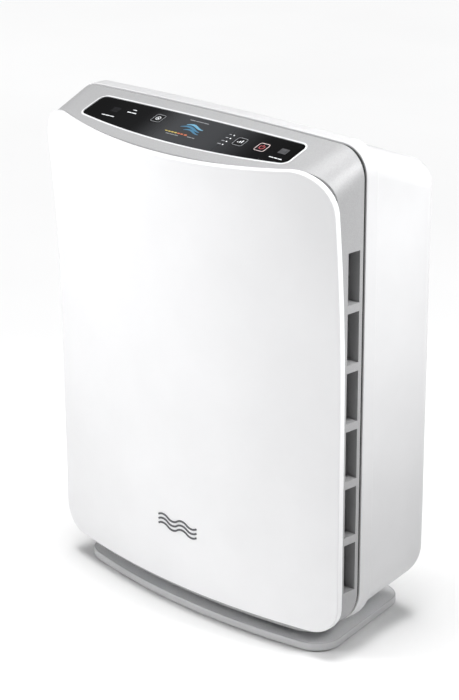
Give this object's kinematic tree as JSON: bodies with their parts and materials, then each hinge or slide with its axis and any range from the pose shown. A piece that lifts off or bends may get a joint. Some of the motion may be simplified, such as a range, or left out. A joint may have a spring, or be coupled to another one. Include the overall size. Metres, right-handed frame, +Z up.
{
  "type": "air purifier",
  "caption": "Floor-standing room air purifier: bowed pull-off front panel, side intakes, sloping control deck, filter stack, centrifugal fan and top rear outlet.",
  "frame": {"origin": "on the floor, under the middle of the object's width and depth", "axes": "+Z up, +Y towards the back, +X to the right seen from the front; the front panel faces -Y"},
  "size_m": [0.43, 0.2278, 0.5744],
  "materials": {
    "panel_gloss_white": "moulded, polished gloss white ABS",
    "shell_white": "moulded semi-gloss white ABS",
    "silver_satin": "satin silver lacquer over ABS",
    "base_grey": "satin grey lacquer over ABS",
    "lens_black": "back-painted acrylic, polished",
    "window_tint": "smoked acrylic",
    "key_black": "gloss black moulded key cap",
    "trim_white": "moulded white trim",
    "badge_grey": "satin dark grey print-filled ABS",
    "black_abs": "fine-textured black ABS",
    "inner_grey": "unpainted dark grey ABS",
    "rubber": "moulded rubber",
    "screw_steel": "zinc-plated steel",
    "motor_steel": "drawn galvanised steel",
    "copper_winding": "enamelled copper",
    "pcb_green": "solder-masked glass epoxy",
    "filter_frame_white": "moulded white polypropylene",
    "filter_paper": "pleated glass-fibre paper",
    "carbon_foam": "carbon granules in a mesh",
    "filter_net": "woven nylon net",
    "fan_grey": "glass-filled nylon"
  },
  "bodies": {
    "housing": {"base_cover": "base_grey", "base_screws": "screw_steel", "base_tray": "shell_white", "bay_screws": "screw_steel", "board_screws": "screw_steel", "control_board": "pcb_green", "control_lens": "lens_black", "deck_housing": "silver_satin", "display_module": "black_abs", "dust_sensor": "inner_grey", "filter_bay": "inner_grey", "foot_pads": "rubber", "housing_screws": "screw_steel", "inlet_guard": "black_abs", "intake_frame_left": "silver_satin", "intake_frame_right": "silver_satin", "ioniser_module": "black_abs", "lens_trim": "trim_white", "motor_bearings": "motor_steel", "motor_can": "motor_steel", "motor_end_cap": "motor_steel", "motor_screws": "screw_steel", "motor_windings": "copper_winding", "outlet_grille": "black_abs", "pedestal": "inner_grey", "power_board": "pcb_green", "power_inlet": "black_abs", "rear_cover": "shell_white", "rear_cover_screws": "screw_steel", "reed_switch": "black_abs", "remote_window": "window_tint", "rim_frame": "shell_white", "scroll_housing": "inner_grey", "scroll_screws": "screw_steel", "seam_gasket": "rubber", "sensor_window": "window_tint", "sill_frame": "silver_satin", "stud_sockets": "inner_grey", "tact_switches": "black_abs"},
    "carbon_filter": {"carbon_frame": "inner_grey", "carbon_media": "carbon_foam"},
    "fan": {"fan_nut": "screw_steel", "fan_shaft": "motor_steel", "fan_wheel": "fan_grey", "motor_magnets": "motor_steel"},
    "panel": {"front_panel": "panel_gloss_white", "interlock_magnet": "motor_steel", "panel_badge": "badge_grey", "panel_studs": "inner_grey"},
    "hepa_filter": {"hepa_frame": "filter_frame_white", "hepa_pleats": "filter_paper"},
    "mode_button": {"mode_key": "key_black"},
    "power_button": {"power_key": "key_black"},
    "prefilter": {"prefilter_frame": "inner_grey", "prefilter_mesh": "filter_net"},
    "speed_button": {"speed_key": "key_black"}
  },
  "joints": [
    {"name": "fan_spin", "type": "hinge", "parent": "housing", "child": "fan", "pos_m": [0, 0.06, 0.235], "axis": [0, 1, 0], "continuous": true},
    {"name": "panel_pull", "type": "slide", "parent": "housing", "child": "panel", "axis": [0, -1, 0], "range_m": [0, 0.3]},
    {"name": "prefilter_pull", "type": "slide", "parent": "housing", "child": "prefilter", "axis": [0, -1, 0], "range_m": [0, 0.225]},
    {"name": "carbon_pull", "type": "slide", "parent": "housing", "child": "carbon_filter", "axis": [0, -1, 0], "range_m": [0, 0.15]},
    {"name": "hepa_pull", "type": "slide", "parent": "housing", "child": "hepa_filter", "axis": [0, -1, 0], "range_m": [0, 0.075]},
    {"name": "mode_press", "type": "slide", "parent": "housing", "child": "mode_button", "axis": [0, 0.3256, -0.9455], "range_m": [0, 0.0008], "stiffness_N_per_m": 400},
    {"name": "speed_press", "type": "slide", "parent": "housing", "child": "speed_button", "axis": [0, 0.3256, -0.9455], "range_m": [0, 0.0008], "stiffness_N_per_m": 400},
    {"name": "power_press", "type": "slide", "parent": "housing", "child": "power_button", "axis": [0, 0.3256, -0.9455], "range_m": [0, 0.0008], "stiffness_N_per_m": 400}
  ],
  "couplings": [
    {"joint": "prefilter_pull", "follows": "panel_pull", "ratio": 0.75},
    {"joint": "carbon_pull", "follows": "panel_pull", "ratio": 0.5},
    {"joint": "hepa_pull", "follows": "panel_pull", "ratio": 0.25}
  ]
}
